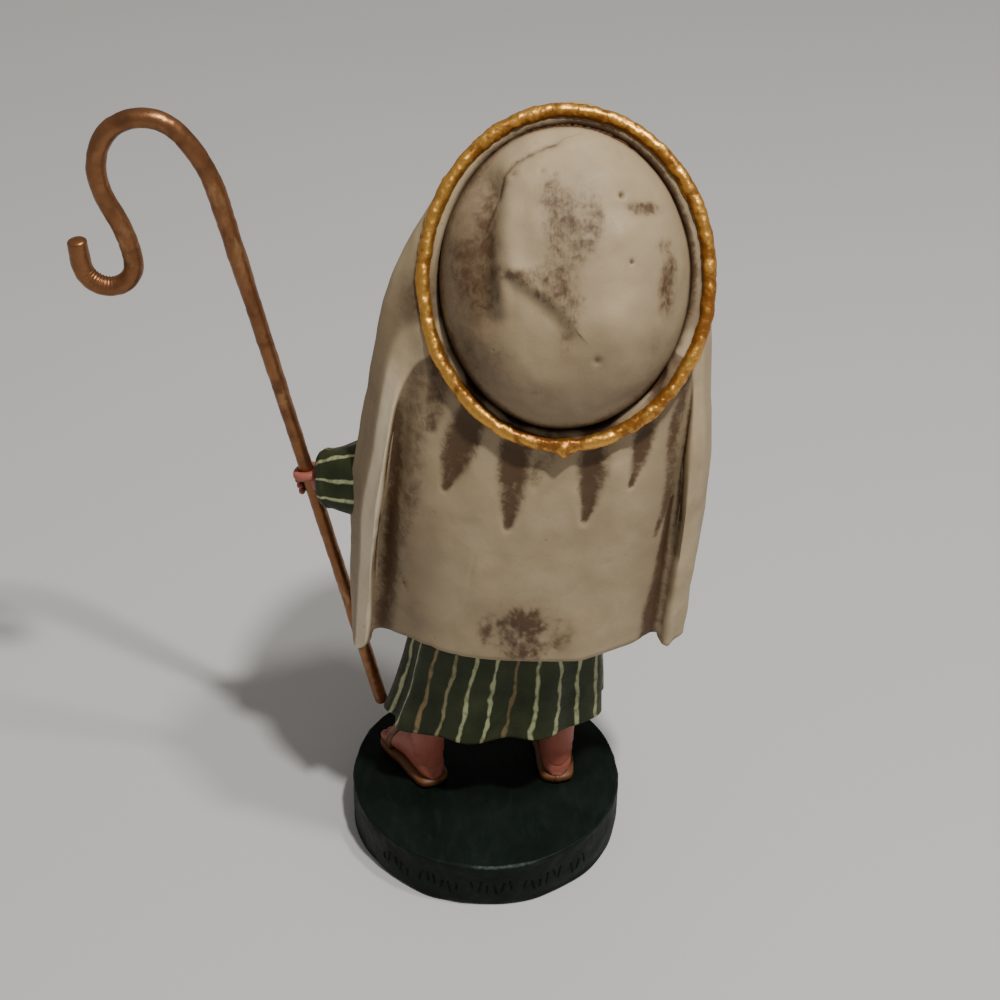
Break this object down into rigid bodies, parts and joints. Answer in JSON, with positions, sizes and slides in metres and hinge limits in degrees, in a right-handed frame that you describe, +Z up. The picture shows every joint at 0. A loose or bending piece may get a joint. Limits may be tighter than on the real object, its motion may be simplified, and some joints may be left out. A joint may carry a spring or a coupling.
{
  "type": "nativity shepherd figurine",
  "caption": "Cast resin child shepherd in a striped robe and pale head cloth, on a round plinth, holding a bent wire crook.",
  "frame": {"origin": "centre of the plinth's underside", "axes": "+Z up; the figure faces -Y; its left hand, with the crook, is on the +X side"},
  "size_m": [0.1273, 0.0663, 0.1689],
  "materials": {
    "painted_resin": "hand-painted, matte, with brown washes",
    "dark_green_base": "painted, satin, worn at the rim",
    "copper_brown_crook": "copper-brown, satin"
  },
  "bodies": {
    "root": {"figure": "painted_resin", "base": "dark_green_base", "crook": "copper_brown_crook"}
  },
  "joints": []
}
